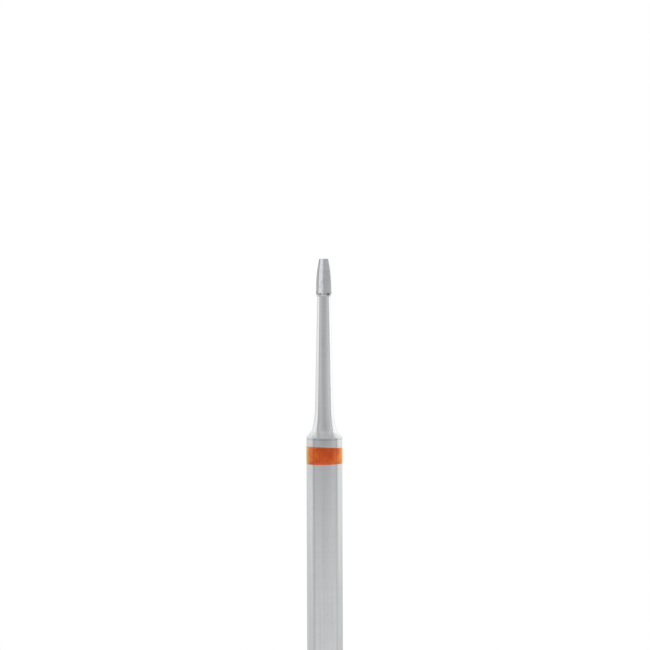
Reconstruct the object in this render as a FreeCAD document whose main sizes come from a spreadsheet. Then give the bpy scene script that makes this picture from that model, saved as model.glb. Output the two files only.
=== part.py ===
import FreeCAD, Part
import os
import Sketcher

# A six-bladed dental bur for a straight handpiece: a fluted carbide head, brazed end to end
# to a turned steel shank that carries a painted colour band.
# Frame: the origin is the centre of the chuck end's flat face, +Z runs up the axis to the
# cutting tip, and one cutting edge faces -Y. The blades cut when the bur turns from -Y to +X.
# Lengths are in millimetres and angles in degrees.

SIZES = [
    ("shank_diameter", 2.35, "what the handpiece chuck grips"),
    ("shank_length", 32.8, "chuck end to the shoulder's corner"),
    ("end_chamfer", 0.2, "lead-in on the chuck end, at 45 degrees"),
    ("shoulder_rounding", 0.06, "radius on the shoulder's corner"),
    ("cone_length", 0.42, "height of the shoulder's cone"),
    ("cone_top_diameter", 1.66, "where the cone meets the flare"),
    ("flare_length", 1.5, "height of the hollow flare above the cone"),
    ("neck_length", 7.32, "straight taper from the flare to the joint"),
    ("neck_root_diameter", 1.22, "neck where the flare begins"),
    ("neck_tip_diameter", 0.89, "neck under the head"),
    ("band_gap", 0.6, "shoulder's corner to the top of the colour band"),
    ("band_height", 1.12, "height of the colour band"),
    ("band_depth", 0.16, "depth of the groove that holds the paint"),
    ("band_crown", 0.01, "how far the paint swells past the shank"),
    ("braze_thickness", 0.04, "filler between the head and the neck"),
    ("head_length", 2.42, "back face to tip"),
    ("head_diameter", 1.12, "over the blades, at the widest"),
    ("tip_diameter", 0.66, "flat of the tip, before its rounding"),
    ("tip_rounding", 0.04, "radius round the flat of the tip"),
    ("bevel_length", 0.2, "height of the bevel above the back face"),
    ("straight_length", 0.32, "height of the straight side above the bevel, below the ogive"),
    ("blade_count", 6, "blades round the head"),
    ("blade_turn", -2.5, "turn of the front blade about the axis"),
    ("flute_depth", 0.12, "cutting edge down to the flute's floor, at the widest"),
    ("runout_depth", 0.04, "the same where the flute runs out at the back face"),
    ("flute_overrun", 0.03, "how far the flute's cut goes on below the back face"),
    ("land_width", 0.025, "flat strip behind each cutting edge"),
    ("floor_width", 0.04, "flat at the bottom of each flute"),
    ("rake_angle", 14, "how far each cutting face leans forward over its flute"),
]

# Sketcher's own numbers for the ends of an edge, the origin and the upright axis.
START, END = 1, 2
ORIGIN = (-1, 1)
UPRIGHT_AXIS = -2

# How far a flute's section reaches outside the blank: its last three corners' distances as
# shares of the blank's radius, or of the clearance face, and the outer corner's share of a
# pitch. The cut goes on above the tip by a share of the ogive's length.
FACE_REACH = 1.2
HEEL_REACH = 1.08
OUTER_REACH = 1.8
OUTER_PLACE = 0.6
TIP_REACH = 1.04

# How far the repeated flutes' volume may be from their count times the first one's.
PATTERN_SLACK = 0.02

doc = FreeCAD.newDocument("dental_bur")
sheet = doc.addObject("Spreadsheet::Sheet", "sizes")
for row, (alias, value, meaning) in enumerate(SIZES, start=1):
    sheet.set(f"A{row}", meaning)
    sheet.set(f"B{row}", str(value))
    sheet.setAlias(f"B{row}", alias)
doc.recompute()

FLARE_FOOT = "sizes.shank_length + sizes.cone_length"
FLARE_TOP = FLARE_FOOT + " + sizes.flare_length"
JOINT_HEIGHT = FLARE_TOP + " + sizes.neck_length"
BAND_FOOT = "sizes.shank_length - sizes.band_gap - sizes.band_height"
BAND_FLOOR = "sizes.shank_diameter / 2 - sizes.band_depth"
OGIVE_FOOT = "(sizes.bevel_length + sizes.straight_length)"
OGIVE_LENGTH = f"(sizes.head_length - {OGIVE_FOOT})"
OGIVE_RISE = "((sizes.head_diameter - sizes.tip_diameter) / 2)"
OGIVE_RADIUS = f"(({OGIVE_LENGTH}^2 + {OGIVE_RISE}^2) / (2 * {OGIVE_RISE}))"
HEAD_RADIUS = "(sizes.head_diameter / 2)"
FLUTE_FLOOR = f"({HEAD_RADIUS} - sizes.flute_depth)"

# The flute's floor follows an arc up to the tip, where its depth has shrunk as the blank has,
# and a smaller arc outwards below the ogive, until it runs out under the back face.
FLOOR_RISE = f"({FLUTE_FLOOR} * (1 - sizes.tip_diameter / sizes.head_diameter))"
FLOOR_RADIUS = f"(({OGIVE_LENGTH}^2 + {FLOOR_RISE}^2) / (2 * {FLOOR_RISE}))"
RUNOUT_LENGTH = f"({OGIVE_FOOT} + sizes.flute_overrun)"
RUNOUT_RISE = "(sizes.flute_depth - sizes.runout_depth)"
RUNOUT_RADIUS = f"(({RUNOUT_LENGTH}^2 + {RUNOUT_RISE}^2) / (2 * {RUNOUT_RISE}))"


def number(formula):
    """The value that a formula of the sheet's sizes has now."""
    return float(sheet.evalExpression(formula))


def new_body(label):
    """An empty body whose label names its file."""
    body = doc.addObject("PartDesign::Body", label)
    body.Label = label
    return body


def new_sketch(body, name, role, height="0"):
    """A sketch on one of the body's origin planes, or parallel to it at a height."""
    sketch = body.newObject("Sketcher::SketchObject", name)
    plane = next(item for item in body.Origin.OriginFeatures if item.Role == role)
    sketch.AttachmentSupport = [(plane, "")]
    sketch.MapMode = "FlatFace"
    sketch.setExpression("AttachmentOffset.Base.z", height)
    return sketch


def point(across, up):
    """A point of a sketch, from two formulas."""
    return FreeCAD.Vector(number(across), number(up), 0)


def line(sketch, start, end, guide=False):
    return sketch.addGeometry(Part.LineSegment(start, end), guide)


def arc(sketch, centre, start, end):
    """An arc anticlockwise about its centre from start to end, under half a turn."""
    outwards = ((start + end) / 2 - centre).normalize()
    middle = centre + outwards * (start - centre).Length
    return sketch.addGeometry(Part.Arc(start, middle, end), False)


def tie(sketch, kind, *places):
    """A constraint with no size, such as Coincident, Horizontal or Tangent."""
    sketch.addConstraint(Sketcher.Constraint(kind, *places))


def measure(sketch, kind, name, formula, *places):
    """A named distance, bound to the sheet."""
    index = sketch.addConstraint(Sketcher.Constraint(kind, *places, number(formula)))
    sketch.renameConstraint(index, name)
    sketch.setExpression("Constraints." + name, formula)


def revolve(body, sketch, kind="PartDesign::Revolution"):
    """Turns the sketch right round its upright axis, to add or to cut."""
    turned = body.newObject(kind, sketch.Name + "_turned")
    turned.Profile = sketch
    turned.ReferenceAxis = (sketch, ["V_Axis"])
    turned.Angle = 360
    sketch.Visibility = False
    doc.recompute()
    return turned


def round_edges(feature, diameter, height):
    """The feature's full circles of that diameter at that height, as edge names."""
    found = []
    for index, edge in enumerate(feature.Shape.Edges, start=1):
        curve = edge.Curve
        if not isinstance(curve, Part.Circle):
            continue
        same_size = abs(curve.Radius - number(diameter) / 2) < 1e-6
        same_height = abs(curve.Center.z - number(height)) < 1e-6
        if same_size and same_height:
            found.append(f"Edge{index}")
    return found


def check_cut(before, after):
    """A cut that points away from the solid removes nothing, and shows no error by itself."""
    if after.Shape.Volume >= before.Shape.Volume:
        raise RuntimeError(f"{after.Name} removed nothing")


def check_pattern(before, once, repeated):
    """Every repeat of a cut has to remove what the first one did, or some have failed."""
    first = before.Shape.Volume - once.Shape.Volume
    total = before.Shape.Volume - repeated.Shape.Volume
    if abs(total / first - repeated.Occurrences) > PATTERN_SLACK:
        raise RuntimeError(f"{repeated.Name} removed {total / first:.3f} times the first cut")


def shank_outline(body):
    """Half of the shank's section: chuck end, side, cone, hollow flare, neck and top face."""
    sketch = new_sketch(body, "shank_outline", "XZ_Plane")
    foot = point("0", "0")
    side_low = point("sizes.shank_diameter / 2", "0")
    side_high = point("sizes.shank_diameter / 2", "sizes.shank_length")
    cone_top = point("sizes.cone_top_diameter / 2", FLARE_FOOT)
    neck_root = point("sizes.neck_root_diameter / 2", FLARE_TOP)
    neck_tip = point("sizes.neck_tip_diameter / 2", JOINT_HEIGHT)
    top = point("0", JOINT_HEIGHT)
    along = (neck_tip - neck_root).normalize()
    outwards = FreeCAD.Vector(along.y, -along.x, 0)
    chord = cone_top - neck_root
    flare_radius = chord.Length**2 / (2 * outwards.dot(chord))
    end_face = line(sketch, foot, side_low)
    side = line(sketch, side_low, side_high)
    cone = line(sketch, side_high, cone_top)
    flare = arc(sketch, neck_root + outwards * flare_radius, neck_root, cone_top)
    neck = line(sketch, neck_root, neck_tip)
    top_face = line(sketch, neck_tip, top)
    axis = line(sketch, top, foot)
    tie(sketch, "Coincident", end_face, START, *ORIGIN)
    tie(sketch, "Coincident", end_face, END, side, START)
    tie(sketch, "Coincident", side, END, cone, START)
    tie(sketch, "Coincident", cone, END, flare, END)
    tie(sketch, "Tangent", neck, START, flare, START)
    tie(sketch, "Coincident", neck, END, top_face, START)
    tie(sketch, "Coincident", top_face, END, axis, START)
    tie(sketch, "Coincident", axis, END, *ORIGIN)
    tie(sketch, "Horizontal", end_face)
    tie(sketch, "Vertical", side)
    tie(sketch, "Horizontal", top_face)
    tie(sketch, "PointOnObject", top_face, END, UPRIGHT_AXIS)
    measure(sketch, "DistanceX", "shank_radius", "sizes.shank_diameter / 2", *ORIGIN, side, START)
    measure(sketch, "DistanceY", "shoulder_height", "sizes.shank_length", *ORIGIN, side, END)
    measure(sketch, "DistanceY", "cone_rise", "sizes.cone_length", side, END, cone, END)
    measure(sketch, "DistanceX", "cone_top", "sizes.cone_top_diameter / 2", *ORIGIN, cone, END)
    measure(sketch, "DistanceY", "flare_rise", "sizes.flare_length", cone, END, neck, START)
    measure(sketch, "DistanceX", "neck_root", "sizes.neck_root_diameter / 2", *ORIGIN, neck, START)
    measure(sketch, "DistanceX", "neck_tip", "sizes.neck_tip_diameter / 2", *ORIGIN, neck, END)
    measure(sketch, "DistanceY", "joint_height", JOINT_HEIGHT, *ORIGIN, neck, END)
    return sketch


def band_groove_outline(body):
    """Section of the shallow groove under the colour band, open past the shank's side."""
    sketch = new_sketch(body, "band_groove", "XZ_Plane")
    outside = "sizes.shank_diameter / 2 + sizes.band_depth"
    top = BAND_FOOT + " + sizes.band_height"
    floor = line(sketch, point(BAND_FLOOR, BAND_FOOT), point(BAND_FLOOR, top))
    upper = line(sketch, point(BAND_FLOOR, top), point(outside, top))
    mouth = line(sketch, point(outside, top), point(outside, BAND_FOOT))
    lower = line(sketch, point(outside, BAND_FOOT), point(BAND_FLOOR, BAND_FOOT))
    tie(sketch, "Coincident", floor, END, upper, START)
    tie(sketch, "Coincident", upper, END, mouth, START)
    tie(sketch, "Coincident", mouth, END, lower, START)
    tie(sketch, "Coincident", lower, END, floor, START)
    tie(sketch, "Vertical", floor)
    tie(sketch, "Vertical", mouth)
    tie(sketch, "Horizontal", upper)
    tie(sketch, "Horizontal", lower)
    measure(sketch, "DistanceX", "floor_radius", BAND_FLOOR, *ORIGIN, floor, START)
    measure(sketch, "DistanceX", "mouth_radius", outside, *ORIGIN, mouth, START)
    measure(sketch, "DistanceY", "band_foot", BAND_FOOT, *ORIGIN, floor, START)
    measure(sketch, "DistanceY", "band_rise", "sizes.band_height", floor, START, floor, END)
    return sketch


def make_shank():
    """Shank, shoulder and neck, turned from one rod, with the band's groove cut in."""
    body = new_body("shank")
    rod = revolve(body, shank_outline(body))
    grooved = revolve(body, band_groove_outline(body), "PartDesign::Groove")
    check_cut(rod, grooved)
    chamfered = body.newObject("PartDesign::Chamfer", "chuck_end_chamfer")
    chamfered.Base = (grooved, round_edges(grooved, "sizes.shank_diameter", "0"))
    chamfered.setExpression("Size", "sizes.end_chamfer")
    doc.recompute()
    rounded = body.newObject("PartDesign::Fillet", "shoulder_rounding")
    corner = round_edges(chamfered, "sizes.shank_diameter", "sizes.shank_length")
    rounded.Base = (chamfered, corner)
    rounded.setExpression("Radius", "sizes.shoulder_rounding")
    doc.recompute()
    check_cut(chamfered, rounded)
    return body


def make_colour_band():
    """Paint that fills its groove and swells a little past the shank."""
    body = new_body("colour_band")
    sketch = new_sketch(body, "band_outline", "XZ_Plane")
    edge = "sizes.shank_diameter / 2"
    foot_in = point(BAND_FLOOR, "0")
    foot_out = point(edge, "0")
    top_out = point(edge, "sizes.band_height")
    top_in = point(BAND_FLOOR, "sizes.band_height")
    crown = number("sizes.band_crown")
    half_height = number("sizes.band_height / 2")
    crown_radius = (half_height**2 + crown**2) / (2 * crown)
    centre = FreeCAD.Vector(foot_out.x + crown - crown_radius, half_height, 0)
    lower = line(sketch, foot_in, foot_out)
    outer = arc(sketch, centre, foot_out, top_out)
    upper = line(sketch, top_out, top_in)
    inner = line(sketch, top_in, foot_in)
    tie(sketch, "Coincident", lower, END, outer, START)
    tie(sketch, "Coincident", outer, END, upper, START)
    tie(sketch, "Coincident", upper, END, inner, START)
    tie(sketch, "Coincident", inner, END, lower, START)
    tie(sketch, "Horizontal", lower)
    tie(sketch, "Horizontal", upper)
    tie(sketch, "Vertical", inner)
    measure(sketch, "DistanceX", "groove_floor", BAND_FLOOR, *ORIGIN, lower, START)
    measure(sketch, "DistanceY", "foot", "0", *ORIGIN, lower, START)
    measure(sketch, "DistanceX", "foot_edge", edge, *ORIGIN, lower, END)
    measure(sketch, "DistanceX", "top_edge", edge, *ORIGIN, upper, START)
    measure(sketch, "DistanceY", "rise", "sizes.band_height", *ORIGIN, inner, START)
    swell = "(sizes.band_height^2 / 4 + sizes.band_crown^2) / (2 * sizes.band_crown)"
    measure(sketch, "Radius", "crown_radius", swell, outer)
    revolve(body, sketch)
    body.setExpression("Placement.Base.z", BAND_FOOT)
    return body


def make_braze_joint():
    """The thin disc of filler metal that holds the head on the neck."""
    disc = doc.addObject("Part::Cylinder", "braze_joint")
    disc.Label = "braze_joint"
    disc.setExpression("Radius", "sizes.neck_tip_diameter / 2")
    disc.setExpression("Height", "sizes.braze_thickness")
    disc.setExpression("Placement.Base.z", JOINT_HEIGHT)
    return disc


def head_outline(body):
    """Half of the head's blank: back face, bevel, straight side, ogive, rounding, flat tip."""
    sketch = new_sketch(body, "head_outline", "XZ_Plane")
    back = point("0", "0")
    back_edge = point("sizes.neck_tip_diameter / 2", "0")
    side_foot = point(HEAD_RADIUS, "sizes.bevel_length")
    ogive_foot = point(HEAD_RADIUS, OGIVE_FOOT)
    tip = point("0", "sizes.head_length")
    ogive_radius = number(OGIVE_RADIUS)
    ogive_centre = ogive_foot - FreeCAD.Vector(ogive_radius, 0, 0)
    rounding = number("sizes.tip_rounding")
    rise = tip.y - rounding - ogive_foot.y
    reach = ((ogive_radius - rounding) ** 2 - rise**2) ** 0.5
    rounding_centre = ogive_centre + FreeCAD.Vector(reach, rise, 0)
    outwards = (rounding_centre - ogive_centre).normalize()
    ogive_end = rounding_centre + outwards * rounding
    flat_edge = rounding_centre + FreeCAD.Vector(0, rounding, 0)
    back_face = line(sketch, back, back_edge)
    bevel = line(sketch, back_edge, side_foot)
    side = line(sketch, side_foot, ogive_foot)
    ogive = arc(sketch, ogive_centre, ogive_foot, ogive_end)
    corner = arc(sketch, rounding_centre, ogive_end, flat_edge)
    tip_face = line(sketch, flat_edge, tip)
    axis = line(sketch, tip, back)
    tie(sketch, "Coincident", back_face, START, *ORIGIN)
    tie(sketch, "Coincident", back_face, END, bevel, START)
    tie(sketch, "Coincident", bevel, END, side, START)
    tie(sketch, "Tangent", side, END, ogive, START)
    tie(sketch, "Tangent", ogive, END, corner, START)
    tie(sketch, "Tangent", corner, END, tip_face, START)
    tie(sketch, "Coincident", tip_face, END, axis, START)
    tie(sketch, "Coincident", axis, END, *ORIGIN)
    tie(sketch, "Horizontal", back_face)
    tie(sketch, "Vertical", side)
    tie(sketch, "Horizontal", tip_face)
    tie(sketch, "PointOnObject", tip_face, END, UPRIGHT_AXIS)
    measure(sketch, "DistanceX", "back_radius", "sizes.neck_tip_diameter / 2", *ORIGIN, bevel, START)
    measure(sketch, "DistanceX", "side_radius", HEAD_RADIUS, *ORIGIN, side, START)
    measure(sketch, "DistanceY", "bevel_rise", "sizes.bevel_length", *ORIGIN, side, START)
    measure(sketch, "DistanceY", "side_top", OGIVE_FOOT, *ORIGIN, side, END)
    measure(sketch, "Radius", "ogive_radius", OGIVE_RADIUS, ogive)
    measure(sketch, "Radius", "tip_rounding", "sizes.tip_rounding", corner)
    measure(sketch, "DistanceY", "tip_height", "sizes.head_length", *ORIGIN, tip_face, END)
    return sketch


def turning_axis(sketch, name, up):
    """A guide line across the sketch at a height, for a cut to turn about."""
    guide = line(sketch, point("0", up), point(HEAD_RADIUS, up), guide=True)
    tie(sketch, "Horizontal", guide)
    tie(sketch, "PointOnObject", guide, START, UPRIGHT_AXIS)
    measure(sketch, "DistanceY", name, up, *ORIGIN, guide, START)
    measure(sketch, "DistanceX", name + "_width", HEAD_RADIUS, *ORIGIN, guide, END)


def flute_outline(body):
    """A flute's section at the ogive's foot: leaning cutting face, floor and straight
    clearance face up to the next blade's land, closed outside the blank. The cutting edge is
    on the sketch's -Y side, and the flute lies to its +X side. Two guide lines are the axes
    that it turns about, up along the ogive and down to the runout."""
    sketch = new_sketch(body, "flute_outline", "XY_Plane", OGIVE_FOOT)
    lean = "tan(sizes.rake_angle)"
    pitch = "360 / sizes.blade_count"
    land_angle = f"sizes.land_width / {HEAD_RADIUS} * 180 / pi"
    heel_angle = f"({pitch} - {land_angle})"
    outer_angle = f"({pitch} * {OUTER_PLACE})"
    floor_near = f"(0 - sizes.flute_depth * {lean})"
    floor_far = f"({floor_near} + sizes.floor_width)"
    heel_across = f"({HEAD_RADIUS} * sin({heel_angle}))"
    heel_out = f"({HEAD_RADIUS} * cos({heel_angle}))"
    corners = [
        ("face_top", f"{HEAD_RADIUS} * ({FACE_REACH} - 1) * {lean}", f"{HEAD_RADIUS} * {FACE_REACH}"),
        ("face_foot", floor_near, FLUTE_FLOOR),
        ("floor_end", floor_far, FLUTE_FLOOR),
        (
            "heel",
            f"{floor_far} + {HEEL_REACH} * ({heel_across} - {floor_far})",
            f"{FLUTE_FLOOR} + {HEEL_REACH} * ({heel_out} - {FLUTE_FLOOR})",
        ),
        (
            "outside",
            f"{HEAD_RADIUS} * {OUTER_REACH} * sin({outer_angle})",
            f"{HEAD_RADIUS} * {OUTER_REACH} * cos({outer_angle})",
        ),
    ]
    places = [point(across, f"-({out})") for _, across, out in corners]
    edges = [
        line(sketch, start, end) for start, end in zip(places, places[1:] + places[:1])
    ]
    for edge, following in zip(edges, edges[1:] + edges[:1]):
        tie(sketch, "Coincident", edge, END, following, START)
    for edge, (corner, across, out) in zip(edges, corners):
        measure(sketch, "DistanceX", corner + "_across", across, *ORIGIN, edge, START)
        measure(sketch, "DistanceY", corner + "_out", f"-({out})", *ORIGIN, edge, START)
    turning_axis(sketch, "ogive_axis", f"{FLOOR_RADIUS} - {FLUTE_FLOOR}")
    turning_axis(sketch, "runout_axis", f"-({FLUTE_FLOOR} + {RUNOUT_RADIUS})")
    return sketch


def cut_flute(body, sketch, name, axis, angle, backwards):
    """Turns the flute's section about one of its guide lines, as a cut."""
    cut = body.newObject("PartDesign::Groove", name)
    cut.Profile = sketch
    cut.ReferenceAxis = (sketch, [axis])
    cut.setExpression("Angle", angle)
    cut.Reversed = backwards
    sketch.Visibility = False
    doc.recompute()
    return cut


def make_carbide_head():
    """The carbide blank with one flute cut along its side and repeated round the axis."""
    body = new_body("carbide_head")
    blank = revolve(body, head_outline(body))
    section = flute_outline(body)
    doc.recompute()
    to_tip = f"asin({TIP_REACH} * {OGIVE_LENGTH} / {FLOOR_RADIUS})"
    upper = cut_flute(body, section, "flute_to_tip", "Axis0", to_tip, True)
    check_cut(blank, upper)
    to_back = f"asin({RUNOUT_LENGTH} / {RUNOUT_RADIUS})"
    lower = cut_flute(body, section, "flute_runout", "Axis1", to_back, True)
    check_cut(upper, lower)
    flutes = body.newObject("PartDesign::PolarPattern", "flutes")
    flutes.Originals = [upper, lower]
    flutes.Axis = (section, ["N_Axis"])
    flutes.Angle = 360
    flutes.setExpression("Occurrences", "sizes.blade_count")
    body.Tip = flutes
    doc.recompute()
    check_pattern(blank, lower, flutes)
    body.Placement.Rotation = FreeCAD.Rotation(FreeCAD.Vector(0, 0, 1), 1)
    body.setExpression("Placement.Rotation.Angle", "sizes.blade_turn")
    body.setExpression("Placement.Base.z", JOINT_HEIGHT + " + sizes.braze_thickness")
    return body


def write(parts):
    """Checks every object of the document and every part's shape, then writes the parts."""
    doc.recompute()
    for item in doc.Objects:
        if "Invalid" in item.State or "Error" in item.State:
            raise RuntimeError(f"{item.Name} failed: {item.State}")
    for part in parts:
        if part.Shape.isNull() or not part.Shape.isValid() or not part.Shape.Solids:
            raise RuntimeError(f"{part.Label} has no valid solid")
    os.makedirs("parts", exist_ok=True)
    for part in parts:
        part.Shape.exportStep(f"parts/{part.Label}.step")
        print(part.Label, "volume", round(part.Shape.Volume, 5), "mm3")


write([make_shank(), make_colour_band(), make_braze_joint(), make_carbide_head()])
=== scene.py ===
import math

import bpy
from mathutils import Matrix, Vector


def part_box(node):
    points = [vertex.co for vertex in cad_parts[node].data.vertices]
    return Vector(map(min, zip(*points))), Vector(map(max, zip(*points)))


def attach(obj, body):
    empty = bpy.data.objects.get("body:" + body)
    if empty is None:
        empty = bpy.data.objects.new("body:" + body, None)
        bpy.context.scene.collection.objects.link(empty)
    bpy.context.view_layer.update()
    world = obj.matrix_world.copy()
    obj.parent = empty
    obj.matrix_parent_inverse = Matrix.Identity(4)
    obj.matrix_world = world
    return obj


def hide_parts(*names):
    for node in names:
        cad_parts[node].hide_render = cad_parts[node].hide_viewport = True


# A dental bur: shank, shoulder and neck turned from one steel rod, a painted colour band, a
# brazed joint and a six-bladed carbide head. Sizes are in millimetres until a piece is placed.

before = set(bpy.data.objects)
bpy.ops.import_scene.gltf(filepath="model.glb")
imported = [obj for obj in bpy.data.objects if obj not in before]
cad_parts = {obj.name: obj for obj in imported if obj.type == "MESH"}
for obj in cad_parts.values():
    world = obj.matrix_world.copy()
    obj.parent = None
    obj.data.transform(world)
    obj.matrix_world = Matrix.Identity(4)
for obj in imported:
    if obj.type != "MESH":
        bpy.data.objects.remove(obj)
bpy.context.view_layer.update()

MM = 0.001

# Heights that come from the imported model.
BAND_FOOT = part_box("colour_band")[0].z / MM
BAND_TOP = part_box("colour_band")[1].z / MM
BRAZE_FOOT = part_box("braze_joint")[0].z / MM
HEAD_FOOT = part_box("carbide_head")[0].z / MM
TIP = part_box("carbide_head")[1].z / MM

# Shank, shoulder and neck.
SHANK_RADIUS = 1.175
END_CHAMFER = 0.2
END_ROUNDING = 0.03
SHOULDER = 32.8
SHOULDER_ROUNDING = 0.06
CONE_LENGTH = 0.42
CONE_TOP_RADIUS = 0.83
FLARE_LENGTH = 1.5
NECK_ROOT_RADIUS = 0.61
NECK_TIP_RADIUS = 0.445
GROOVE_RADIUS = 1.015
TURNED_SIDES = 128
ROUNDING_STEPS = 3
SHOULDER_STEPS = 6
FLARE_STEPS = 16
NECK_STEPS = 12

# Paint. Its rims stand a little askew, and lap over the groove's edges on to the shank.
PAINT_FOOT = BAND_FOOT - 0.01
PAINT_TOP = BAND_TOP - 0.035
PAINT_CROWN = 0.018
PAINT_BITE = 0.002
PAINT_EDGE = 0.0005
PAINT_LIP = (0.007, 0.006)
PAINT_SIDE = 0.025
PAINT_STEPS = 8
GROOVE_FOOT = BAND_FOOT + 0.05
GROOVE_TOP = BAND_TOP - 0.14
TOP_RIM_TILT = (3.1, -2.7)
FOOT_RIM_TILT = (0.3, 1.0)
RIM_INSIDE = 0.03
RIM_OUTSIDE = 0.01
SEAM_GAP = 0.0005

# Braze.
BRAZE_SIDES = 96
BRAZE_STEPS = 6
BRAZE_INSET = 0.002
BRAZE_SWELL = 0.004

# Head.
HEAD_LENGTH = TIP - HEAD_FOOT
HEAD_RADIUS = 0.56
TIP_RADIUS = 0.33
TIP_ROUNDING = 0.04
TIP_EDGE = 85
TIP_STEPS = 5
BEVEL_LENGTH = 0.2
CORNER_CUT = (0.008, 0.012)
CORNER_RISE = 0.006
STRAIGHT_LENGTH = 0.32
OGIVE_STEPS = 18
BLADES = 6
BLADE_TURN = -2.5
FLUTE_DEPTH = 0.12
RUNOUT_DEPTH = 0.04
FLUTE_OVERRUN = 0.03
LAND_WIDTH = 0.025
FLOOR_WIDTH = 0.04
RAKE = 14
EDGE_ROUNDING = 0.005
GULLET_REACH = (0.04, 0.06)
GULLET_STEPS = 7
HEAD_SIDES = 144
EDGE_ANGLE = 35

# How far the flute's cutter stands out of the head, as a share of its size there.
FACE_OVERRUN = 0.2
HEEL_OVERRUN = 0.08
TIP_OVERRUN = 0.04
BACK_REACH = 1.8
BACK_TURN = 0.6
RUNOUT_STEPS = 10

# What counts as a cutting face: where it looks, in degrees from straight outwards, and the most
# that it looks up or down.
CUTTING_LOOKS = (45, 135)
CUTTING_RISE = 0.5

# Cleaning of the head's mesh: the closest points, and the flattest angle in degrees.
CLEAN_CUTS = (0.0005, 0.4)
CLEAN_EDGES = (0.0002, 0.05)

# Greatest angle that is shaded smooth, in degrees.
SHANK_SMOOTH = 25
HEAD_SMOOTH = 28
SOFT_SMOOTH = 60

# Painted shade, in spots round the bevel where the flutes end. The turn is in degrees.
SHADE_SPOTS = 5
SHADE_SPOT_TURN = 126

# Camera, from the photograph.
CAMERA_DISTANCE = 350
CAMERA_ELEVATION = 4
CAMERA_ROLL = 0.19
FRAME_WIDTH = 42.5
FRAME_CENTRE = (0.068, 0, 40.16)
SENSOR = 36


# Modelling

def deselect():
    if bpy.context.object and bpy.context.object.mode == "EDIT":
        bpy.ops.object.mode_set(mode="OBJECT")
    bpy.ops.object.select_all(action="DESELECT")


def pick(piece):
    deselect()
    piece.select_set(True)
    bpy.context.view_layer.objects.active = piece


def arc_rings(centre, radius, start, end, steps):
    """Rings along an arc of the outline, from a start to an end angle in degrees."""
    rings = []
    for step in range(steps + 1):
        angle = math.radians(start + (end - start) * step / steps)
        rings.append((centre[0] + radius * math.cos(angle), centre[1] + radius * math.sin(angle)))
    return rings


def turned(name, rings, sides, ring_shaped=False):
    """A lathe-turned piece: a circle extruded from ring to ring, each a radius and a height.
    A ring-shaped piece ends where it began, and has no ends to close."""
    deselect()
    radius, height = rings[0]
    bpy.ops.mesh.primitive_circle_add(
        vertices=sides,
        radius=radius,
        fill_type="NOTHING" if ring_shaped else "NGON",
        location=(0, 0, height),
    )
    piece = bpy.context.object
    piece.name = name
    piece.data.name = name
    bpy.ops.object.transform_apply(location=True, rotation=True, scale=True)
    bpy.ops.object.mode_set(mode="EDIT")
    bpy.ops.mesh.select_all(action="SELECT")
    for (last_radius, last_height), (radius, height) in zip(rings, rings[1:]):
        rise = (0, 0, height - last_height)
        if ring_shaped:
            bpy.ops.mesh.extrude_edges_move(TRANSFORM_OT_translate={"value": rise})
        else:
            bpy.ops.mesh.extrude_region_move(TRANSFORM_OT_translate={"value": rise})
        grow = radius / last_radius
        bpy.ops.transform.resize(value=(grow, grow, 1), center_override=(0, 0, height))
    bpy.ops.mesh.select_all(action="SELECT")
    if ring_shaped:
        bpy.ops.mesh.remove_doubles(threshold=SEAM_GAP)
    bpy.ops.mesh.normals_make_consistent(inside=False)
    bpy.ops.object.mode_set(mode="OBJECT")
    return piece


def finish_piece(piece, node, material, smooth_angle):
    """Takes a piece from millimetres to metres, shades it, and puts it in its node's place."""
    pick(piece)
    piece.scale = (MM, MM, MM)
    bpy.ops.object.transform_apply(location=True, rotation=True, scale=True)
    bpy.ops.object.shade_smooth_by_angle(angle=math.radians(smooth_angle))
    piece.data.materials.clear()
    piece.data.materials.append(material)
    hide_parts(node)
    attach(piece, "root")
    return piece


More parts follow.
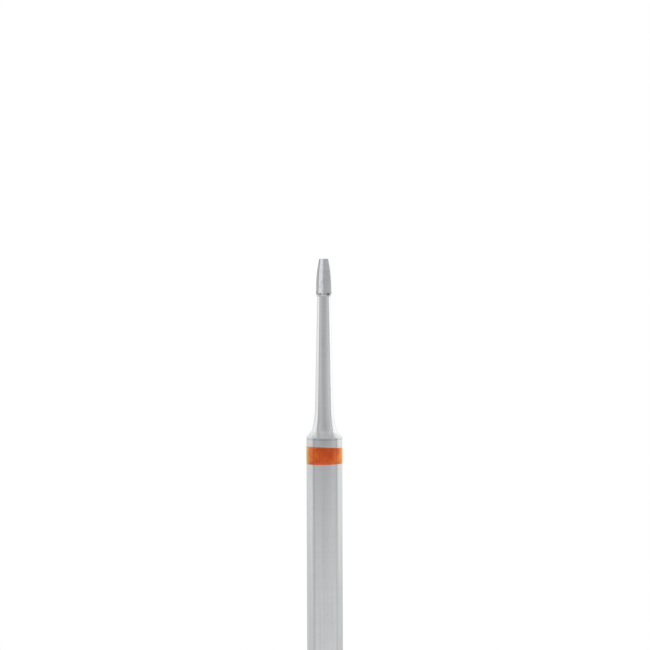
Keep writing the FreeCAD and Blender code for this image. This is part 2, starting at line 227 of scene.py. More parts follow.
def shank_rings():
    """Chuck end, side with the band's groove, shoulder, cone, hollow flare and neck."""
    inner = (SHANK_RADIUS - END_CHAMFER - END_ROUNDING, END_ROUNDING)
    outer = (SHANK_RADIUS - END_ROUNDING, END_CHAMFER + END_ROUNDING)
    rings = arc_rings(inner, END_ROUNDING, -90, -45, ROUNDING_STEPS)
    rings += arc_rings(outer, END_ROUNDING, -45, 0, ROUNDING_STEPS)
    rings += [(SHANK_RADIUS, BAND_FOOT * share) for share in (0.1, 0.25, 0.5, 0.75, 0.95)]
    rings += [(SHANK_RADIUS, GROOVE_FOOT), (GROOVE_RADIUS, GROOVE_FOOT)]
    rings += [(GROOVE_RADIUS, GROOVE_TOP), (SHANK_RADIUS, GROOVE_TOP)]
    slope = math.degrees(math.atan2(SHANK_RADIUS - CONE_TOP_RADIUS, CONE_LENGTH))
    setback = SHOULDER_ROUNDING * math.tan(math.radians(slope / 2))
    centre = (SHANK_RADIUS - SHOULDER_ROUNDING, SHOULDER - setback)
    rings += arc_rings(centre, SHOULDER_ROUNDING, 0, slope, SHOULDER_STEPS)
    cone_top = (CONE_TOP_RADIUS, SHOULDER + CONE_LENGTH)
    root = (NECK_ROOT_RADIUS, SHOULDER + CONE_LENGTH + FLARE_LENGTH)
    joint = (NECK_TIP_RADIUS, BRAZE_FOOT)
    length = math.dist(root, joint)
    outwards = ((joint[1] - root[1]) / length, (root[0] - joint[0]) / length)
    chord = (cone_top[0] - root[0], cone_top[1] - root[1])
    reach = outwards[0] * chord[0] + outwards[1] * chord[1]
    radius = (chord[0] ** 2 + chord[1] ** 2) / (2 * reach)
    centre = (root[0] + outwards[0] * radius, root[1] + outwards[1] * radius)
    start = math.degrees(math.atan2(cone_top[1] - centre[1], cone_top[0] - centre[0])) % 360
    end = math.degrees(math.atan2(root[1] - centre[1], root[0] - centre[0])) % 360
    rings += arc_rings(centre, radius, start, end, FLARE_STEPS)
    for step in range(1, NECK_STEPS + 1):
        share = step / NECK_STEPS
        rings.append(tuple(low + (high - low) * share for low, high in zip(root, joint)))
    return rings


def band_rings():
    """Paint that fills its groove and laps a little over the shank, with soft rims."""
    low, high = PAINT_FOOT, PAINT_TOP
    edge, bite = SHANK_RADIUS + PAINT_EDGE, SHANK_RADIUS - PAINT_BITE
    lip = SHANK_RADIUS + PAINT_LIP[0]
    rings = [(GROOVE_RADIUS, GROOVE_FOOT), (bite, GROOVE_FOOT)]
    rings += [(edge, low), (lip, low + PAINT_LIP[1])]
    for step in range(PAINT_STEPS + 1):
        share = step / PAINT_STEPS
        swell = PAINT_CROWN * (0.7 + 0.3 * math.sin(math.pi * share))
        height = low + PAINT_SIDE + (high - low - 2 * PAINT_SIDE) * share
        rings.append((SHANK_RADIUS + swell, height))
    rings += [(lip, high - PAINT_LIP[1]), (edge, high)]
    rings += [(bite, GROOVE_TOP), (GROOVE_RADIUS, GROOVE_TOP)]
    rings.append((GROOVE_RADIUS, GROOVE_FOOT))
    return rings


def braze_rings():
    """The filler disc, swelling a little out of the joint."""
    radius, thickness = NECK_TIP_RADIUS, HEAD_FOOT - BRAZE_FOOT
    rings = [(radius - BRAZE_INSET, BRAZE_FOOT)]
    for step in range(1, BRAZE_STEPS):
        share = step / BRAZE_STEPS
        swell = BRAZE_SWELL * math.sin(math.pi * share)
        rings.append((radius + swell, BRAZE_FOOT + thickness * share))
    rings.append((radius - BRAZE_INSET, HEAD_FOOT))
    return rings


def head_rings():
    """The head's blank: back face, bevel, straight side, ogive, tip rounding and flat tip."""
    ogive_foot = BEVEL_LENGTH + STRAIGHT_LENGTH
    ogive_length = HEAD_LENGTH - ogive_foot
    rise = HEAD_RADIUS - TIP_RADIUS
    radius = (ogive_length**2 + rise**2) / (2 * rise)
    centre = (HEAD_RADIUS - radius, ogive_foot)
    up = ogive_length - TIP_ROUNDING
    reach = math.sqrt((radius - TIP_ROUNDING) ** 2 - up**2)
    rounding_centre = (centre[0] + reach, centre[1] + up)
    meeting = math.degrees(math.atan2(up, reach))
    rings = [(NECK_TIP_RADIUS, 0)]
    rings.append((HEAD_RADIUS - CORNER_CUT[0], BEVEL_LENGTH - CORNER_CUT[1]))
    rings.append((HEAD_RADIUS, BEVEL_LENGTH + CORNER_RISE))
    rings += arc_rings(centre, radius, 0, meeting, OGIVE_STEPS)
    rings += arc_rings(rounding_centre, TIP_ROUNDING, meeting, TIP_EDGE, TIP_STEPS)[1:]
    return [(r, HEAD_FOOT + h) for r, h in rings]


def gullet(face_top, face_foot, floor_end, heel_end):
    """The flute's bottom as a smooth curve from the cutting face over the floor to the
    clearance face, inside its three straight sides."""
    face_reach, heel_reach = GULLET_REACH
    start = Vector(face_foot).lerp(Vector(face_top), face_reach / math.dist(face_foot, face_top))
    end = Vector(floor_end).lerp(Vector(heel_end), heel_reach / math.dist(floor_end, heel_end))
    points = []
    for step in range(GULLET_STEPS + 1):
        share = step / GULLET_STEPS
        rest = 1 - share
        points.append(tuple(
            rest**3 * start
            + 3 * rest**2 * share * Vector(face_foot)
            + 3 * rest * share**2 * Vector(floor_end)
            + share**3 * end
        ))
    return points


def flute_cutter():
    """One flute's cutter: its section stands at the ogive's foot, and is carried down to the
    runout and up past the tip in small turns."""
    ogive_foot = BEVEL_LENGTH + STRAIGHT_LENGTH
    ogive_length = HEAD_LENGTH - ogive_foot
    floor = HEAD_RADIUS - FLUTE_DEPTH
    floor_rise = floor * (1 - TIP_RADIUS / HEAD_RADIUS)
    path_radius = (ogive_length**2 + floor_rise**2) / (2 * floor_rise)
    runout_length = ogive_foot + FLUTE_OVERRUN
    runout_rise = FLUTE_DEPTH - RUNOUT_DEPTH
    runout_radius = (runout_length**2 + runout_rise**2) / (2 * runout_rise)
    lean = math.tan(math.radians(RAKE))
    pitch = 2 * math.pi / BLADES
    heel = pitch - LAND_WIDTH / HEAD_RADIUS
    floor_near = -FLUTE_DEPTH * lean
    floor_far = floor_near + FLOOR_WIDTH
    heel_x, heel_y = HEAD_RADIUS * math.sin(heel), HEAD_RADIUS * math.cos(heel)
    face_top = (FACE_OVERRUN * HEAD_RADIUS * lean, (1 + FACE_OVERRUN) * HEAD_RADIUS)
    past_heel = 1 + HEEL_OVERRUN
    heel_end = (floor_far + past_heel * (heel_x - floor_far), floor + past_heel * (heel_y - floor))
    back, turn = BACK_REACH * HEAD_RADIUS, BACK_TURN * pitch
    section = [face_top]
    section += gullet(face_top, (floor_near, floor), (floor_far, floor), heel_end)
    section += [heel_end, (back * math.sin(turn), back * math.cos(turn))]
    foot = HEAD_FOOT + ogive_foot
    corners = [Vector((across, -out, foot)) for across, out in section]
    deselect()
    bpy.ops.mesh.primitive_plane_add(size=FLUTE_DEPTH, location=corners[0])
    cutter = bpy.context.object
    cutter.name = "flute_cutter"
    bpy.ops.object.transform_apply(location=True, rotation=True, scale=True)
    bpy.ops.object.mode_set(mode="EDIT")
    bpy.ops.mesh.select_all(action="SELECT")
    bpy.ops.mesh.merge(type="CENTER")
    for here, there in zip(corners, corners[1:]):
        bpy.ops.mesh.extrude_vertices_move(TRANSFORM_OT_translate={"value": there - here})
    bpy.ops.mesh.select_all(action="SELECT")
    bpy.ops.mesh.edge_face_add()
    runout_axis = (0, -(floor + runout_radius), foot)
    ogive_axis = (0, path_radius - floor, foot)
    down = math.asin(runout_length / runout_radius)
    up = math.asin((1 + TIP_OVERRUN) * ogive_length / path_radius)
    bpy.ops.transform.rotate(value=down, orient_axis="X", center_override=runout_axis)
    turns = ((runout_axis, down, RUNOUT_STEPS), (ogive_axis, up, OGIVE_STEPS))
    for axis, angle, steps in turns:
        sense = -1 if axis is runout_axis else 1
        for _ in range(steps):
            bpy.ops.mesh.extrude_region_move()
            bpy.ops.transform.rotate(
                value=sense * angle / steps, orient_axis="X", center_override=axis
            )
    bpy.ops.mesh.select_all(action="SELECT")
    bpy.ops.mesh.normals_make_consistent(inside=False)
    bpy.ops.object.mode_set(mode="OBJECT")
    return cutter


def make_shank(material):
    piece = turned("shank_turned", shank_rings(), TURNED_SIDES)
    return finish_piece(piece, "shank", material, SHANK_SMOOTH)


def tilt_rim(piece, low, high, height, tilt):
    """Turns one rim of the paint about X and about Y."""
    pick(piece)
    bpy.ops.object.mode_set(mode="EDIT")
    bpy.ops.mesh.select_mode(type="VERT")
    bpy.ops.mesh.select_all(action="DESELECT")
    bpy.ops.object.mode_set(mode="OBJECT")
    for vertex in piece.data.vertices:
        radius = math.hypot(vertex.co.x, vertex.co.y)
        vertex.select = low < vertex.co.z < high and radius > SHANK_RADIUS
    bpy.ops.object.mode_set(mode="EDIT")
    for axis, degrees in zip("XY", tilt):
        bpy.ops.transform.rotate(
            value=math.radians(degrees), orient_axis=axis, center_override=(0, 0, height)
        )
    bpy.ops.object.mode_set(mode="OBJECT")


def make_band(material):
    piece = turned("colour_band_paint", band_rings(), TURNED_SIDES, ring_shaped=True)
    high, low = PAINT_TOP, PAINT_FOOT
    tilt_rim(piece, high - RIM_INSIDE, high + RIM_OUTSIDE, high, TOP_RIM_TILT)
    tilt_rim(piece, low - RIM_OUTSIDE, low + RIM_INSIDE, low, FOOT_RIM_TILT)
    return finish_piece(piece, "colour_band", material, SOFT_SMOOTH)


def make_braze(material):
    piece = turned("braze_joint_filler", braze_rings(), BRAZE_SIDES)
    return finish_piece(piece, "braze_joint", material, SOFT_SMOOTH)


def clean_mesh(piece, closest, flat_angle):
    """Merges points that all but meet, and faces that are flat to each other."""
    pick(piece)
    bpy.ops.object.mode_set(mode="EDIT")
    bpy.ops.mesh.select_all(action="SELECT")
    bpy.ops.mesh.remove_doubles(threshold=closest)
    bpy.ops.mesh.dissolve_degenerate(threshold=closest)
    bpy.ops.mesh.select_all(action="SELECT")
    bpy.ops.mesh.dissolve_limited(angle_limit=math.radians(flat_angle))
    bpy.ops.mesh.normals_make_consistent(inside=False)
    bpy.ops.object.mode_set(mode="OBJECT")


def mark_cutting_faces(piece):
    """Marks the side of each blade that cuts, for the material. Such a face looks round the
    axis, and not away from it."""
    mark = piece.data.attributes.new("cutting_face", "FLOAT", "FACE")
    least, most = CUTTING_LOOKS
    for face in piece.data.polygons:
        outwards = math.atan2(face.center.y, face.center.x)
        looks = math.degrees(math.atan2(face.normal.y, face.normal.x) - outwards) % 360
        upright = abs(face.normal.z) < CUTTING_RISE
        mark.data[face.index].value = float(least < looks < most and upright)


def make_head(material):
    piece = turned("carbide_head_ground", head_rings(), HEAD_SIDES)
    cutter = flute_cutter()
    for blade in range(BLADES):
        deselect()
        tool = cutter.copy()
        tool.data = cutter.data.copy()
        bpy.context.collection.objects.link(tool)
        tool.rotation_euler = (0, 0, math.radians(BLADE_TURN) + blade * 2 * math.pi / BLADES)
        pick(piece)
        bpy.ops.object.modifier_add(type="BOOLEAN")
        cut = piece.modifiers[-1]
        cut.operation = "DIFFERENCE"
        cut.solver = "EXACT"
        cut.object = tool
        bpy.ops.object.modifier_apply(modifier=cut.name)
        bpy.data.objects.remove(tool)
    bpy.data.objects.remove(cutter)
    clean_mesh(piece, *CLEAN_CUTS)
    bpy.ops.object.modifier_add(type="BEVEL")
    bevel = piece.modifiers[-1]
    bevel.width = EDGE_ROUNDING
    bevel.segments = 2
    bevel.limit_method = "ANGLE"
    bevel.angle_limit = math.radians(EDGE_ANGLE)
    bevel.use_clamp_overlap = True
    bpy.ops.object.modifier_apply(modifier=bevel.name)
    clean_mesh(piece, *CLEAN_EDGES)
    mark_cutting_faces(piece)
    return finish_piece(piece, "carbide_head", material, HEAD_SMOOTH)


# Materials

# Colours of the finishes, and of the marks on them.
GROUND_STEEL = (0.72, 0.735, 0.75, 1)
# Painted light for the shank's lower part.
LOWER_LIT_STEEL = (0.79, 0.802, 0.815, 1)
POLISHED_STEEL = (0.905, 0.92, 0.94, 1)
SCORED_STEEL = (0.4, 0.405, 0.41, 1)
STREAKED_STEEL = (0.45, 0.455, 0.46, 1)
# Painted shade for the band under the shoulder's corner.
PAINTED_CORNER_SHADE = (0.5, 0.505, 0.51, 1)

GROUND_CARBIDE = (0.81, 0.825, 0.845, 1)
SMEARED_CARBIDE = (0.7, 0.715, 0.735, 1)
LAPPED_CARBIDE = (0.96, 0.97, 0.98, 1)
ROUGH_CARBIDE = (0.44, 0.45, 0.46, 1)
CRYSTAL_CARBIDE = (0.76, 0.77, 0.78, 1)
RIM_CARBIDE = (0.72, 0.73, 0.74, 1)
# Painted shade for the spots round the bevel where the flutes end.
PAINTED_SPOT_SHADE = (0.17, 0.17, 0.18, 1)

BRIGHT_FILLER = (0.83, 0.8, 0.72, 1)
DULL_FILLER = (0.66, 0.62, 0.52, 1)

ORANGE_PAINT = (0.9, 0.125, 0.0, 1)
RED_PAINT = (0.64, 0.012, 0.002, 1)
THIN_PAINT = (0.8, 0.18, 0.03, 1)
PAINT_GLOSS = (1, 1, 0.3, 1)
PAINT_SHEEN = (0.95, 1, 0.2, 1)


def new_material(name):
    material = bpy.data.materials.new(name)
    material.use_nodes = True
    nodes = material.node_tree.nodes
    return material, nodes, material.node_tree.links, nodes["Principled BSDF"]


def place_group(nodes, group, **values):
    """A copy of an effect in a material, with its own values."""
    node = nodes.new("ShaderNodeGroup")
    node.node_tree = group
    for name, value in values.items():
        node.inputs[name.replace("_", " ")].default_value = value
    return node


def new_group(name, inputs, outputs):
    """An effect that several materials use: a group with named inputs and outputs."""
    group = bpy.data.node_groups.new(name, "ShaderNodeTree")
    for label, kind, value in inputs:
        socket = group.interface.new_socket(label, in_out="INPUT", socket_type=kind)
        socket.default_value = value
    for label, kind in outputs:
        group.interface.new_socket(label, in_out="OUTPUT", socket_type=kind)
    return (
        group,
        group.nodes,
        group.links,
        group.nodes.new("NodeGroupInput"),
        group.nodes.new("NodeGroupOutput"),
    )


def math_node(nodes, links, operation, first, second):
    node = nodes.new("ShaderNodeMath")
    node.operation = operation
    for socket, value in zip(node.inputs, (first, second)):
        if isinstance(value, (int, float)):
            socket.default_value = value
        else:
            links.new(value, socket)
    return node.outputs[0]


def lathe_marks_group():
    """Fine rings that a turning or grinding tool leaves round a piece, as a height, and a mask
    of the deeper ones."""
    group, nodes, links, given, out = new_group(
        "lathe marks",
        [("Spacing mm", "NodeSocketFloat", 0.03), ("Wander", "NodeSocketFloat", 0.3)],
        [("Height", "NodeSocketFloat"), ("Deep marks", "NodeSocketFloat")],
    )
    place = nodes.new("ShaderNodeTexCoord")
    split = nodes.new("ShaderNodeSeparateXYZ")
    links.new(place.outputs["Object"], split.inputs[0])
    height_mm = math_node(nodes, links, "DIVIDE", split.outputs["Z"], MM)
    rings = math_node(nodes, links, "DIVIDE", height_mm, given.outputs["Spacing mm"])
    sway = nodes.new("ShaderNodeTexNoise")
    sway.inputs["Scale"].default_value = 900
    sway.inputs["Detail"].default_value = 1
    links.new(place.outputs["Object"], sway.inputs["Vector"])
    swayed = math_node(nodes, links, "MULTIPLY", sway.outputs["Fac"], given.outputs["Wander"])
    along = math_node(nodes, links, "ADD", rings, swayed)
    fine = nodes.new("ShaderNodeTexNoise")
    fine.noise_dimensions = "1D"
    fine.inputs["Scale"].default_value = 1
    fine.inputs["Detail"].default_value = 3
    fine.inputs["Roughness"].default_value = 0.6
    links.new(along, fine.inputs["W"])
    links.new(fine.outputs["Fac"], out.inputs["Height"])
    deep = nodes.new("ShaderNodeMapRange")
    deep.inputs["From Min"].default_value = 0.56
    deep.inputs["From Max"].default_value = 0.7
    links.new(fine.outputs["Fac"], deep.inputs["Value"])
    links.new(deep.outputs["Result"], out.inputs["Deep marks"])
    return group


def draw_marks_group():
    """Streaks that drawing, grinding and wiping leave along a piece, as a value."""
    group, nodes, links, given, out = new_group(
        "draw marks", [("Width mm", "NodeSocketFloat", 0.3)], [("Streaks", "NodeSocketFloat")]
    )
    place = nodes.new("ShaderNodeTexCoord")
    stretch = nodes.new("ShaderNodeMapping")
    stretch.inputs["Scale"].default_value = (1, 1, 0.025)
    links.new(place.outputs["Object"], stretch.inputs["Vector"])
    scale = math_node(nodes, links, "DIVIDE", 1 / MM, given.outputs["Width mm"])
    streaks = nodes.new("ShaderNodeTexNoise")
    streaks.inputs["Detail"].default_value = 3
    links.new(stretch.outputs["Vector"], streaks.inputs["Vector"])
    links.new(scale, streaks.inputs["Scale"])
    links.new(streaks.outputs["Fac"], out.inputs["Streaks"])
    return group


def handling_group():
    """Faint cloudy smears from handling and cleaning, and small rubbed spots."""
    group, nodes, links, given, out = new_group(
        "handling",
        [("Size mm", "NodeSocketFloat", 1.5)],
        [("Smears", "NodeSocketFloat"), ("Spots", "NodeSocketFloat")],
    )
    place = nodes.new("ShaderNodeTexCoord")
    scale = math_node(nodes, links, "DIVIDE", 1 / MM, given.outputs["Size mm"])
    cloud = nodes.new("ShaderNodeTexNoise")
    cloud.inputs["Detail"].default_value = 4
    cloud.inputs["Roughness"].default_value = 0.55
    cloud.inputs["Distortion"].default_value = 0.4
    links.new(place.outputs["Object"], cloud.inputs["Vector"])
    links.new(scale, cloud.inputs["Scale"])
    smears = nodes.new("ShaderNodeMapRange")
    smears.inputs["From Min"].default_value = 0.35
    smears.inputs["From Max"].default_value = 0.7
    links.new(cloud.outputs["Fac"], smears.inputs["Value"])
    links.new(smears.outputs["Result"], out.inputs["Smears"])
    fine_scale = math_node(nodes, links, "MULTIPLY", scale, 9)
    specks = nodes.new("ShaderNodeTexNoise")
    specks.inputs["Detail"].default_value = 2
    links.new(place.outputs["Object"], specks.inputs["Vector"])
    links.new(fine_scale, specks.inputs["Scale"])
    spots = nodes.new("ShaderNodeMapRange")
    spots.inputs["From Min"].default_value = 0.6
    spots.inputs["From Max"].default_value = 0.78
    spots.inputs["To Max"].default_value = 0.6
    links.new(specks.outputs["Fac"], spots.inputs["Value"])
    links.new(spots.outputs["Result"], out.inputs["Spots"])
    return group


def colour_mix(nodes, links, factor, first, second):
    node = nodes.new("ShaderNodeMix")
    node.data_type = "RGBA"
    sockets = (node.inputs[0], node.inputs[6], node.inputs[7])
    for socket, value in zip(sockets, (factor, first, second)):
        if isinstance(value, (int, float, tuple)):
            socket.default_value = value
        else:
            links.new(value, socket)
    return node.outputs[2]


def value_range(nodes, links, value, low, high, to_low, to_high):
    node = nodes.new("ShaderNodeMapRange")
    links.new(value, node.inputs["Value"])
    for name, number in (
        ("From Min", low),
        ("From Max", high),
        ("To Min", to_low),
        ("To Max", to_high),
    ):
        node.inputs[name].default_value = number
    return node.outputs["Result"]


def bump(nodes, links, height, strength, depth_mm):
    node = nodes.new("ShaderNodeBump")
    node.inputs["Strength"].default_value = strength
    node.inputs["Distance"].default_value = depth_mm * MM
    links.new(height, node.inputs["Height"])
    return node.outputs["Normal"]


def shank_steel(marks, draws, handling):
    """Stainless steel: ground on the shank, polished on the neck and shoulder."""
    material, nodes, links, shader = new_material("shank steel")
    place = nodes.new("ShaderNodeTexCoord")
    split = nodes.new("ShaderNodeSeparateXYZ")
    links.new(place.outputs["Object"], split.inputs[0])
    polished = value_range(
        nodes, links, split.outputs["Z"], (SHOULDER - 0.06) * MM, (SHOULDER + 0.1) * MM, 0, 1
    )
    rings = place_group(nodes, marks, Spacing_mm=0.028, Wander=0.25)
    smears = place_group(nodes, handling, Size_mm=1.7)
    ground = value_range(nodes, links, smears.outputs["Smears"], 0, 1, 0.17, 0.23)
    smooth = value_range(nodes, links, smears.outputs["Smears"], 0, 1, 0.12, 0.17)
    mixed = nodes.new("ShaderNodeMix")
    links.new(polished, mixed.inputs[0])
    links.new(ground, mixed.inputs[2])
    links.new(smooth, mixed.inputs[3])
    worn = math_node(nodes, links, "MULTIPLY", rings.outputs["Deep marks"], 0.05)
    roughness = math_node(nodes, links, "ADD", mixed.outputs[0], worn)
    links.new(roughness, shader.inputs["Roughness"])
    # Painted light: the shank's colour turns lighter below 31 mm, fully so below 27 mm.
    lower_lit = value_range(nodes, links, split.outputs["Z"], 27 * MM, 31 * MM, 1, 0)
    side = colour_mix(nodes, links, lower_lit, GROUND_STEEL, LOWER_LIT_STEEL)
    bright = colour_mix(nodes, links, polished, side, POLISHED_STEEL)
    scored = math_node(nodes, links, "MULTIPLY", rings.outputs["Deep marks"], 0.22)
    marked = colour_mix(nodes, links, scored, bright, SCORED_STEEL)
    rubbed = math_node(nodes, links, "MULTIPLY", smears.outputs["Spots"], 0.25)
    dull = colour_mix(nodes, links, rubbed, marked, SCORED_STEEL)
    drawn = place_group(nodes, draws, Width_mm=0.3)
    streaks = value_range(nodes, links, drawn.outputs["Streaks"], 0.42, 0.6, 0, 1)
    strength = value_range(nodes, links, polished, 0, 1, 0.14, 0.2)
    streaked = math_node(nodes, links, "MULTIPLY", streaks, strength)
    worn_steel = colour_mix(nodes, links, streaked, dull, STREAKED_STEEL)
    # Painted shade: a darker band just under the shoulder's rounded corner.
    below = value_range(
        nodes, links, split.outputs["Z"], (SHOULDER - 0.17) * MM, (SHOULDER - 0.11) * MM, 0, 1
    )
    above = value_range(
        nodes, links, split.outputs["Z"], (SHOULDER - 0.07) * MM, (SHOULDER + 0.01) * MM, 1, 0
    )
    corner_shade = math_node(nodes, links, "MULTIPLY", below, above)
    corner_shade = math_node(nodes, links, "MULTIPLY", corner_shade, 0.65)
    corner_shaded = colour_mix(nodes, links, corner_shade, worn_steel, PAINTED_CORNER_SHADE)
    links.new(corner_shaded, shader.inputs["Base Color"])
    links.new(bump(nodes, links, rings.outputs["Height"], 0.25, 0.002), shader.inputs["Normal"])
    shader.inputs["Metallic"].default_value = 1
    return material


def head_carbide(marks, draws, handling):
    """Cemented carbide: ground bright in the flutes, lapped satin on the cutting faces, and
    left rough on the bevel at the back, with painted shade in spots round it where the flutes end."""
    material, nodes, links, shader = new_material("head carbide")
    place = nodes.new("ShaderNodeTexCoord")
    split = nodes.new("ShaderNodeSeparateXYZ")
    links.new(place.outputs["Object"], split.inputs[0])
    smears = place_group(nodes, handling, Size_mm=0.3)
    rings = place_group(nodes, marks, Spacing_mm=0.014, Wander=1.2)
    grain = nodes.new("ShaderNodeTexNoise")
    grain.inputs["Scale"].default_value = 9000
    grain.inputs["Detail"].default_value = 3
    links.new(place.outputs["Object"], grain.inputs["Vector"])
    ragged = value_range(nodes, links, grain.outputs["Fac"], 0.3, 0.7, -0.05 * MM, 0.05 * MM)
    height = math_node(nodes, links, "ADD", split.outputs["Z"], ragged)
    rough_back = value_range(
        nodes,
        links,
        height,
        (HEAD_FOOT + BEVEL_LENGTH - 0.05) * MM,
        (HEAD_FOOT + BEVEL_LENGTH + 0.03) * MM,
        1,
        0,
    )
    smeared = smears.outputs["Smears"]
    ground = colour_mix(nodes, links, smeared, GROUND_CARBIDE, SMEARED_CARBIDE)
    rough = colour_mix(nodes, links, grain.outputs["Fac"], ROUGH_CARBIDE, CRYSTAL_CARBIDE)
    # Painted shade: dark spots round the bevel, where the flutes end.
    around = math_node(nodes, links, "ARCTAN2", split.outputs["Y"], split.outputs["X"])
    turns = math_node(nodes, links, "MULTIPLY", around, SHADE_SPOTS)
    swing = math_node(nodes, links, "ADD", turns, SHADE_SPOTS * math.radians(SHADE_SPOT_TURN))
    patchy = math_node(nodes, links, "COSINE", swing, 0)
    spot_shade = value_range(nodes, links, patchy, 0.2, 0.9, 0, 1)
    spot_shaded = colour_mix(nodes, links, spot_shade, rough, PAINTED_SPOT_SHADE)
    # The bevel turns lighter towards the head's foot.
    lighter_foot = value_range(
        nodes, links, height, (HEAD_FOOT + 0.03) * MM, (HEAD_FOOT + 0.11) * MM, 1, 0
    )
    back = colour_mix(nodes, links, lighter_foot, spot_shaded, RIM_CARBIDE)
    cutting = nodes.new("ShaderNodeAttribute")
    cutting.attribute_name = "cutting_face"
    lapped = colour_mix(nodes, links, cutting.outputs["Fac"], ground, LAPPED_CARBIDE)
    links.new(colour_mix(nodes, links, rough_back, lapped, back), shader.inputs["Base Color"])
    smooth = value_range(nodes, links, smeared, 0, 1, 0.15, 0.22)
    dulled = math_node(nodes, links, "MULTIPLY", rough_back, 0.14)
    satin = math_node(nodes, links, "MULTIPLY", cutting.outputs["Fac"], 0.4)
    roughness = math_node(nodes, links, "ADD", smooth, dulled)
    links.new(math_node(nodes, links, "ADD", roughness, satin), shader.inputs["Roughness"])
    scratches = place_group(nodes, draws, Width_mm=0.017)
    ringed = math_node(nodes, links, "MULTIPLY", rings.outputs["Height"], 0.4)
    wheel_marks = math_node(nodes, links, "ADD", scratches.outputs["Streaks"], ringed)
    links.new(bump(nodes, links, wheel_marks, 0.35, 0.0015), shader.inputs["Normal"])
    shader.inputs["Metallic"].default_value = 1
    return material


def braze_filler(handling):
    """Silver brazing filler, dull and slightly yellow."""
    material, nodes, links, shader = new_material("braze filler")
    smears = place_group(nodes, handling, Size_mm=0.2)
    smeared = smears.outputs["Smears"]
    colour = colour_mix(nodes, links, smeared, BRIGHT_FILLER, DULL_FILLER)
    links.new(colour, shader.inputs["Base Color"])
    roughness = value_range(nodes, links, smeared, 0, 1, 0.35, 0.5)
    links.new(roughness, shader.inputs["Roughness"])
    shader.inputs["Metallic"].default_value = 1
    return material


def band_paint(handling):
    """Orange stoving paint, semi-gloss, thinner and warmer towards its top rim."""
    material, nodes, links, shader = new_material("band paint")
    place = nodes.new("ShaderNodeTexCoord")
    split = nodes.new("ShaderNodeSeparateXYZ")
    links.new(place.outputs["Object"], split.inputs[0])
    smears = place_group(nodes, handling, Size_mm=0.5)
    smeared = smears.outputs["Smears"]
    body = colour_mix(nodes, links, smeared, ORANGE_PAINT, RED_PAINT)
    near_top = value_range(
        nodes, links, split.outputs["Z"], (BAND_TOP - 0.07) * MM, (BAND_TOP + 0.01) * MM, 0, 0.6
    )
    colour = colour_mix(nodes, links, near_top, body, THIN_PAINT)
    links.new(colour, shader.inputs["Base Color"])
    roughness = value_range(nodes, links, smeared, 0, 1, 0.13, 0.2)
    links.new(roughness, shader.inputs["Roughness"])
    peel = nodes.new("ShaderNodeTexNoise")
    peel.inputs["Scale"].default_value = 5000
    peel.inputs["Detail"].default_value = 2
    links.new(place.outputs["Object"], peel.inputs["Vector"])
    links.new(bump(nodes, links, peel.outputs["Fac"], 0.3, 0.006), shader.inputs["Normal"])
    shader.inputs["Metallic"].default_value = 0.65
    shader.inputs["Specular Tint"].default_value = PAINT_GLOSS
    shader.inputs["Sheen Weight"].default_value = 1
    shader.inputs["Sheen Roughness"].default_value = 0.5
    shader.inputs["Sheen Tint"].default_value = PAINT_SHEEN
    shader.inputs["Coat Weight"].default_value = 0.8
    shader.inputs["Coat Roughness"].default_value = 0.1
    return material


# Studio

# Light levels that metal sees, from straight behind the camera to straight behind the bur, by
# the share of the way on the ramp. The grey side's middle is turned a little to the right, and
# the right side is a little brighter than the left.
STUDIO_LEVELS = [
    (0.0, 0.42),
    (0.07, 0.46),
    (0.24, 0.58),
    (0.33, 0.59),
    (0.39, 0.44),
    (0.44, 0.52),
    (0.5, 1.0),
    (0.62, 1.05),
    (0.8, 0.99),
    (1.0, 0.84),
]
STUDIO_TURN = -6.5
STUDIO_LEAN = 0.1
OVERHEAD = 0.34
ZENITH_LIGHT = 0.5
WHITE = (1, 1, 1, 1)

# Floor, in millimetres from the bur. It turns white from the first to the second distance, and
# the steel sees it fade into the studio from the third to the fourth.
FLOOR_RADIUS = 340
FLOOR_SIDES = 128
FLOOR_PAPER = (0.9, 0.9, 0.9, 1)
FLOOR_NEAR = 60
FLOOR_FAR = 110
CLEAR_NEAR = 190
CLEAR_FAR = 330

# How bright the steel sees the floor, by the same share of the way as the studio's levels.
FLOOR_LEVELS = [
    (0.0, 0.765),
    (0.3, 0.755),
    (0.385, 0.61),
    (0.425, 0.575),
    (0.47, 0.66),
    (1.0, 0.66),
]

# Lamp, in metres and watts.
LAMP_PLACE = (-0.16, -0.22, 0.3)
LAMP_AIM = (0, 0, 0.03)
LAMP_SIZE = 0.2
LAMP_POWER = 0.35


def level_ramp(nodes, links, direction, levels):
    """Light levels by direction, from straight behind the camera to straight behind the bur."""
    split = nodes.new("ShaderNodeSeparateXYZ")
    links.new(direction, split.inputs[0])
    turn = math.radians(STUDIO_TURN)
    side = math_node(nodes, links, "MULTIPLY", split.outputs["X"], math.sin(turn))
    depth = math_node(nodes, links, "MULTIPLY", split.outputs["Y"], math.cos(turn))
    backwards = math_node(nodes, links, "ADD", depth, side)
    across = value_range(nodes, links, backwards, -1, 1, 0, 1)
    ramp = nodes.new("ShaderNodeValToRGB")
    stops = ramp.color_ramp.elements
    for position, _ in levels[1:-1]:
        stops.new(position)
    for stop, (position, level) in zip(stops, levels):
        stop.position = position
        stop.color = (level, level, level, 1)
    links.new(across, ramp.inputs["Fac"])
    return ramp.outputs["Color"]


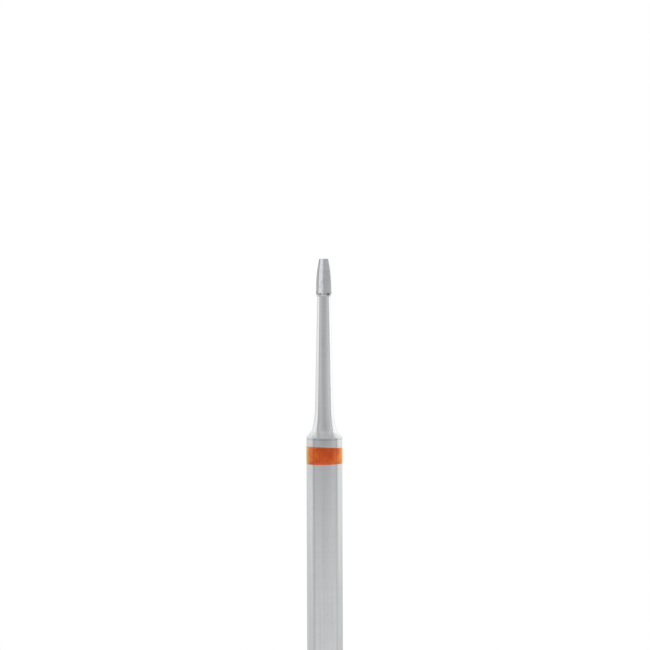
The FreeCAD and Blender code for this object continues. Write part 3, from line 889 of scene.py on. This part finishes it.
def make_world():
    """White behind everything the camera sees; metal and paint see a studio that is white
    behind the bur and grey on the camera's side and overhead."""
    world = bpy.data.worlds.new("studio")
    bpy.context.scene.world = world
    world.use_nodes = True
    nodes, links = world.node_tree.nodes, world.node_tree.links
    surface = nodes["Background"]
    out = nodes["World Output"]
    place = nodes.new("ShaderNodeTexCoord")
    split = nodes.new("ShaderNodeSeparateXYZ")
    links.new(place.outputs["Generated"], split.inputs[0])
    levels = level_ramp(nodes, links, place.outputs["Generated"], STUDIO_LEVELS)
    lean = value_range(nodes, links, split.outputs["X"], -1, 1, 1 - STUDIO_LEAN, 1 + STUDIO_LEAN)
    leaning = nodes.new("ShaderNodeVectorMath")
    leaning.operation = "SCALE"
    links.new(levels, leaning.inputs[0])
    links.new(lean, leaning.inputs["Scale"])
    overhead = value_range(nodes, links, split.outputs["Z"], OVERHEAD, 1, 0, 1)
    zenith = (ZENITH_LIGHT, ZENITH_LIGHT, ZENITH_LIGHT, 1)
    studio = colour_mix(nodes, links, overhead, leaning.outputs[0], zenith)
    ray = nodes.new("ShaderNodeLightPath")
    seen = colour_mix(nodes, links, ray.outputs["Is Camera Ray"], studio, WHITE)
    links.new(seen, surface.inputs["Color"])
    surface.inputs["Strength"].default_value = 1
    links.new(surface.outputs[0], out.inputs["Surface"])


def make_floor():
    """A pale disc that keeps the bur's shadow near it and turns white further out. The steel
    sees it with the studio's dark bands, and fading into the studio."""
    deselect()
    bpy.ops.mesh.primitive_circle_add(
        vertices=FLOOR_SIDES, radius=FLOOR_RADIUS * MM, fill_type="NGON", location=(0, 0, 0)
    )
    floor = bpy.context.object
    floor.name = "floor"
    material, nodes, links, shader = new_material("floor")
    out = nodes["Material Output"]
    place = nodes.new("ShaderNodeTexCoord")
    distance = nodes.new("ShaderNodeVectorMath")
    distance.operation = "LENGTH"
    links.new(place.outputs["Object"], distance.inputs[0])
    away = distance.outputs["Value"]
    shader.inputs["Base Color"].default_value = FLOOR_PAPER
    shader.inputs["Roughness"].default_value = 0.9
    shader.inputs["Specular IOR Level"].default_value = 0.1
    white = nodes.new("ShaderNodeEmission")
    white.inputs["Strength"].default_value = 1
    clear = nodes.new("ShaderNodeBsdfTransparent")
    ray = nodes.new("ShaderNodeLightPath")
    to_white = value_range(nodes, links, away, FLOOR_NEAR * MM, FLOOR_FAR * MM, 0, 1)
    outwards = nodes.new("ShaderNodeVectorMath")
    outwards.operation = "NORMALIZE"
    links.new(place.outputs["Object"], outwards.inputs[0])
    seen_by_steel = level_ramp(nodes, links, outwards.outputs["Vector"], FLOOR_LEVELS)
    glow = colour_mix(nodes, links, ray.outputs["Is Camera Ray"], seen_by_steel, WHITE)
    links.new(glow, white.inputs["Color"])
    whitened = nodes.new("ShaderNodeMixShader")
    links.new(to_white, whitened.inputs[0])
    links.new(shader.outputs[0], whitened.inputs[1])
    links.new(white.outputs[0], whitened.inputs[2])
    to_clear = value_range(nodes, links, away, CLEAR_NEAR * MM, CLEAR_FAR * MM, 0, 1)
    not_seen = math_node(nodes, links, "SUBTRACT", 1, ray.outputs["Is Camera Ray"])
    cleared = math_node(nodes, links, "MULTIPLY", to_clear, not_seen)
    faded = nodes.new("ShaderNodeMixShader")
    links.new(cleared, faded.inputs[0])
    links.new(whitened.outputs[0], faded.inputs[1])
    links.new(clear.outputs[0], faded.inputs[2])
    links.new(faded.outputs[0], out.inputs["Surface"])
    floor.data.materials.append(material)


def make_lamp():
    """One soft lamp above and to the left of the camera."""
    bpy.ops.object.light_add(type="AREA", location=LAMP_PLACE)
    lamp = bpy.context.object
    lamp.name = "soft lamp"
    lamp.data.shape = "DISK"
    lamp.data.size = LAMP_SIZE
    lamp.data.energy = LAMP_POWER
    lamp.visible_glossy = False
    aim = Vector(LAMP_AIM) - lamp.location
    lamp.rotation_euler = aim.to_track_quat("-Z", "Y").to_euler()


def make_camera():
    """The photograph's view: a little above the bur, with its axis leaning slightly left."""
    centre = Vector(FRAME_CENTRE) * MM
    tilt = math.radians(CAMERA_ELEVATION)
    back = Vector((0, -math.cos(tilt), math.sin(tilt)))
    bpy.ops.object.camera_add(location=centre + back * CAMERA_DISTANCE * MM)
    camera = bpy.context.object
    camera.name = "camera"
    camera.data.sensor_width = SENSOR
    camera.data.lens = SENSOR * CAMERA_DISTANCE / FRAME_WIDTH
    camera.data.clip_start = 0.01
    camera.data.clip_end = 20
    turn = (-back).to_track_quat("-Z", "Y").to_euler()
    camera.rotation_euler = turn
    camera.rotation_euler.rotate_axis("Z", math.radians(-CAMERA_ROLL))
    bpy.context.scene.camera = camera


marks = lathe_marks_group()
handling = handling_group()
draws = draw_marks_group()
make_shank(shank_steel(marks, draws, handling))
make_band(band_paint(handling))
make_braze(braze_filler(handling))
make_head(head_carbide(marks, draws, handling))
make_world()
make_floor()
make_lamp()
make_camera()
bpy.context.scene.view_settings.view_transform = "Standard"
